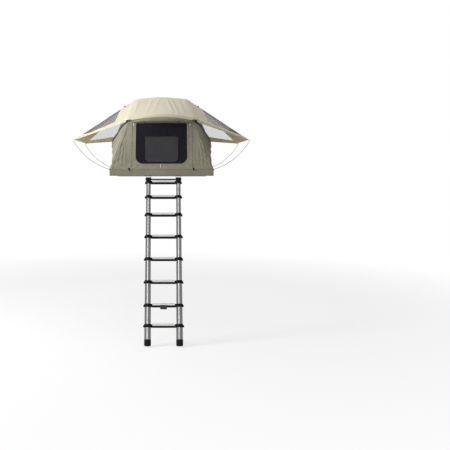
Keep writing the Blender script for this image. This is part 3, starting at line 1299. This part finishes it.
    # Ribbons on the front wall: places across, top, length, width and lifts off the wall from top to foot
    TABS = (-0.388, 0.398), 0.762, 0.038, 0.012, (0.0003, 0.0012, 0.006, 0.009, 0.005, 0.0006)
    PULL = (-0.012,), 0.186, 0.052, 0.010, (0.003, 0.005, 0.007, 0.006, 0.008, 0.009)
    PADS = (-0.444, 0.437), 0.136, 0.026, 0.018, (0.0004, 0.001, 0.001, 0.0008)
    RIBBON_THICK, RIBBON_STEPS = 0.0018, 14
    # A hook below each pad: place beside the pad, height and lift off the wall, then its wire, steps and way
    HOOK = ((0, 0.128, 0.003), (0, 0.118, 0.006), (0, 0.106, 0.012), (0.004, 0.098, 0.015),
            (0.010, 0.096, 0.016), (0.014, 0.102, 0.015))
    HOOK_R, HOOK_STEPS, HOOK_FACING = 0.0035, 16, (0.0, -1.0, 0.2)

    def door_fittings(self):
        """Pale tabs beside the door's head, a pull on its foot and black hooks on the skirt"""
        wall = WALLS["front"]
        pieces = []
        for (places, top, length, width, lifts), finish in (
                (self.TABS, "tab"), (self.PULL, "tab"), (self.PADS, "nylon")):
            for x in places:
                heights = np.linspace(top, top - length, len(lifts))
                found = [wall.at(x, height, lift) for height, lift in zip(heights, lifts)]
                points = resample(np.array([p for p, _ in found]), self.RIBBON_STEPS)
                facing = np.repeat(found[0][1][None], len(points), 0)
                section = flat_section(width, self.RIBBON_THICK)
                pieces.append(swept("ribbon", points, facing, section, FINISHES[finish]))
        for x in self.PADS[0]:
            hook = np.array([wall.at(x + aside, height, lift)[0] for aside, height, lift in self.HOOK])
            hook = resample(hook, self.HOOK_STEPS)
            facing = np.repeat([self.HOOK_FACING], len(hook), 0)
            pieces.append(swept("hook", hook, facing, round_section(self.HOOK_R), FINISHES["nylon"]))
        hang(join("door_fittings", pieces), "front")


class TENT_OT_ladder_strap(bpy.types.Operator):
    """Folds the strap that hangs on the second rung and closes round the ladder when it is pushed together"""

    bl_idname = "tent.ladder_strap"
    bl_label = "Ladder strap"

    # The strap's path in mm, back from the rung and up: off the beam, down in front, folded up behind
    PATH_MM = ((-18.4, 12), (-22, 15.5), (-26.5, 16.5), (-30, 13), (-31, 5), (-31, -8), (-30.6, -20),
               (-29.6, -26), (-27.8, -28), (-26, -26), (-25.4, -20), (-25.2, -8), (-25.1, 4))
    STEPS, COLUMNS = 40, 15
    # Half width, how much narrower it gets below the rung, the depth where it is narrowest, and thickness
    HALF_W, TAPER, DEPTH, THICK = 0.049, 0.009, 0.029, 0.002
    # Rows and columns of its stitches, and their lift
    SEWN_ROWS, SEWN_COLUMNS, SEWN_LIFT = slice(8, 24), (1, 13), 0.0006

    def execute(self, context):
        up = np.array(JOINTS["section_1_slide"]["axis"])
        back = np.cross(up, [1, 0, 0])
        rung = np.array(JOINTS["ladder_swing"]["pos_m"]) - up * context.scene.tent_sizes.strap_drop
        path = resample(np.array(self.PATH_MM) / 1000, self.STEPS)
        half_w = self.HALF_W - self.TAPER * np.clip(-path[:, 1] / self.DEPTH, 0, 1)
        across = np.linspace(-1, 1, self.COLUMNS) * half_w[:, None]
        middle = rung + back * path[:, :1] + up * path[:, 1:]
        grid = middle[:, None] + across[..., None] * [1.0, 0, 0]
        strap = sheet_object("rung_strap_webbing", grid, False, FINISHES["webbing"])
        thicken(strap, self.THICK)
        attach(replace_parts(strap, "rung_strap"), "ladder_section_2")
        edges = [grid[self.SEWN_ROWS, column] - back * self.SEWN_LIFT for column in self.SEWN_COLUMNS]
        stitches = stitched("rung_strap_stitches", edges, STRAP_STITCH)
        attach(stitches, "ladder_section_2")
        return {"FINISHED"}


Lamp = namedtuple("Lamp", "at aim size share")
# Area lamps: place, aim, width and height, and power as a share of the key light's
LAMPS = {
    "key": Lamp((-5.6, -3.6, 2.2), (0.0, -1.2, 0.4), (1.6, 1.6), 1.0),
    "top": Lamp((0.0, -1.0, 6.0), (0.0, -0.8, 0.8), (3.0, 3.0), 0.18),
    "front": Lamp((-2.5, -8.0, 0.5), (0.0, -2.2, -1.2), (2.5, 2.5), 0.12),
    "strip": Lamp((-2.0, -8.0, 2.1), (0.0, -2.2, -1.1), (0.5, 5.0), 0.85),
}
# The key light is kept off the ladder's tubes and the strip light to them, for one narrow highlight
TUBE_LIGHTS = {"key": "EXCLUDE", "strip": "INCLUDE"}
WHITE = (1, 1, 1, 1)
# Floor: gap below the part, sides, its tones seen directly and in diffuse light, and from which distance to
# which it goes over into the white background, with the share of white that it starts from
FLOOR_GAP, FLOOR_SIDES = 0.0005, 64
FLOOR_TONE, FLOOR_BOUNCE = "F2F2F2", "D0D0D0"
FLOOR_NEAR, FLOOR_FAR, FLOOR_WHITE = 3.0, 7.0, 0.72
# Width of the camera's sensor, and how far the camera sees
SENSOR_MM, SIGHT = 36.0, 500.0


class TENT_OT_stage(bpy.types.Operator):
    """Sets the floor, the light and the camera"""

    bl_idname = "tent.stage"
    bl_label = "Stage"

    def execute(self, context):
        scene, settings = context.scene, context.scene.tent_stage
        scene.view_settings.view_transform = "Standard"
        angles = np.linspace(0, 2 * math.pi, FLOOR_SIDES, endpoint=False)
        ring = columns(np.cos(angles), np.sin(angles), 0) * settings.floor_radius
        ring[:, 2] = CAD_BOX[0][2] - FLOOR_GAP
        new_object("floor", ring, [range(FLOOR_SIDES)], [self.floor_material()])
        self.background(scene, settings.sky)
        for name, lamp in LAMPS.items():
            self.lamp(scene, name, lamp, settings.key * lamp.share)
        for name, state in TUBE_LIGHTS.items():
            self.link_tubes(name, state)
        self.camera(scene, settings)
        return {"FINISHED"}

    def background(self, scene, strength):
        """Even white light, and plain white wherever the background itself shows"""
        scene.world = bpy.data.worlds.new("studio")
        scene.world.use_nodes = True
        tree = scene.world.node_tree
        tree.nodes.clear()
        lit = add(tree, "ShaderNodeBackground", {"Color": WHITE, "Strength": strength})
        plain = add(tree, "ShaderNodeBackground", {"Color": WHITE, "Strength": 1.0})
        both = add(tree, "ShaderNodeMixShader", {0: self.seen(tree), 1: lit.outputs[0], 2: plain.outputs[0]})
        add(tree, "ShaderNodeOutputWorld", {"Surface": both.outputs[0]})

    def lamp(self, scene, name, lamp, power):
        """An area lamp that looks at its aim"""
        light = bpy.data.lights.new(name, "AREA")
        light.shape, light.energy = "RECTANGLE", power
        light.size, light.size_y = lamp.size
        holder = bpy.data.objects.new(name, light)
        holder.location = lamp.at
        holder.rotation_euler = (Vector(lamp.aim) - Vector(lamp.at)).to_track_quat("-Z", "Y").to_euler()
        scene.collection.objects.link(holder)

    def link_tubes(self, lamp, state):
        """Keeps a lamp off the ladder's tubes, or keeps it to them"""
        group = bpy.data.collections.new(f"{lamp}_tubes")
        for name, node in NODES.items():
            if name.startswith("stile_tubes"):
                group.objects.link(node)
        bpy.data.objects[lamp].light_linking.receiver_collection = group
        for entry in group.collection_objects:
            entry.light_linking.link_state = state

    def camera(self, scene, settings):
        """A level camera with a shifted picture"""
        camera = bpy.data.cameras.new("camera")
        camera.lens, camera.sensor_width = settings.lens, SENSOR_MM
        camera.shift_x, camera.shift_y = settings.shift
        camera.clip_end = SIGHT
        holder = bpy.data.objects.new("camera", camera)
        holder.location = settings.camera_at
        holder.rotation_euler = (math.radians(90), 0, 0)
        scene.collection.objects.link(holder)
        scene.camera = holder

    def seen(self, tree):
        """1 where the ray shows the background itself: camera, glossy and transmission rays"""
        path = add(tree, "ShaderNodeLightPath").outputs
        shown = path["Is Camera Ray"]
        for kind in ("Is Glossy Ray", "Is Transmission Ray"):
            shown = add(tree, "ShaderNodeMath", {0: shown, 1: path[kind]}, operation="MAXIMUM").outputs[0]
        return shown

    def floor_material(self):
        """White floor that keeps a light shadow near the ladder and runs into the white background"""
        material, tree = new_material("white_floor")
        at = add(tree, "ShaderNodeTexCoord").outputs["Object"]
        flat = add(tree, "ShaderNodeVectorMath", {0: at, 1: (1, 1, 0)}, operation="MULTIPLY")
        away = add(tree, "ShaderNodeVectorMath", {0: flat.outputs[0]}, operation="LENGTH")
        share = add(tree, "ShaderNodeMapRange", {
            "Value": away.outputs["Value"], "From Min": FLOOR_NEAR, "From Max": FLOOR_FAR,
            "To Min": FLOOR_WHITE, "To Max": 1.0})
        shown = add(tree, "ShaderNodeMath", {
            0: share.outputs["Result"], 1: self.seen(tree)}, operation="MULTIPLY")
        bounce = add(tree, "ShaderNodeLightPath").outputs["Is Diffuse Ray"]
        tone = add(tree, "ShaderNodeMix", {
            "Factor": bounce, 6: linear(FLOOR_TONE), 7: linear(FLOOR_BOUNCE)}, data_type="RGBA")
        paint = add(tree, "ShaderNodeBsdfPrincipled", {"Base Color": tone.outputs[2], "Roughness": 0.9})
        glow = add(tree, "ShaderNodeEmission", {"Color": WHITE, "Strength": 1.0})
        both = add(tree, "ShaderNodeMixShader", {
            0: shown.outputs[0], 1: paint.outputs[0], 2: glow.outputs[0]})
        add(tree, "ShaderNodeOutputMaterial", {"Surface": both.outputs[0]})
        return material


class TENT_PT_sidebar(bpy.types.Panel):
    """The tent's sizes, colours and pieces"""

    bl_idname = "TENT_PT_sidebar"
    bl_label = "Roof top tent"
    bl_space_type = "VIEW_3D"
    bl_region_type = "UI"
    bl_category = "Tent"

    def draw(self, context):
        for name, kind in GROUPS.items():
            for setting in kind.__annotations__:
                self.layout.prop(getattr(context.scene, name), setting)
        for operator in OPERATORS:
            self.layout.operator(operator.bl_idname)


GROUPS = {"tent_sizes": TentSizes, "tent_colours": TentColours, "tent_stage": StageSettings}
OPERATORS = (TENT_OT_stage, TENT_OT_finishes, TENT_OT_canopy, TENT_OT_rainfly, TENT_OT_flaps, TENT_OT_bedding,
             TENT_OT_trims, TENT_OT_ladder_strap)
CLASSES = (*GROUPS.values(), *OPERATORS, TENT_PT_sidebar)


def register():
    for kind in CLASSES:
        bpy.utils.register_class(kind)
    for name, kind in GROUPS.items():
        setattr(bpy.types.Scene, name, PointerProperty(type=kind))


def unregister():
    for name in GROUPS:
        delattr(bpy.types.Scene, name)
    for kind in reversed(CLASSES):
        bpy.utils.unregister_class(kind)


def main():
    register()
    for operator in OPERATORS:
        group, name = operator.bl_idname.split(".")
        getattr(getattr(bpy.ops, group), name)()


if __name__ == "__main__":
    main()
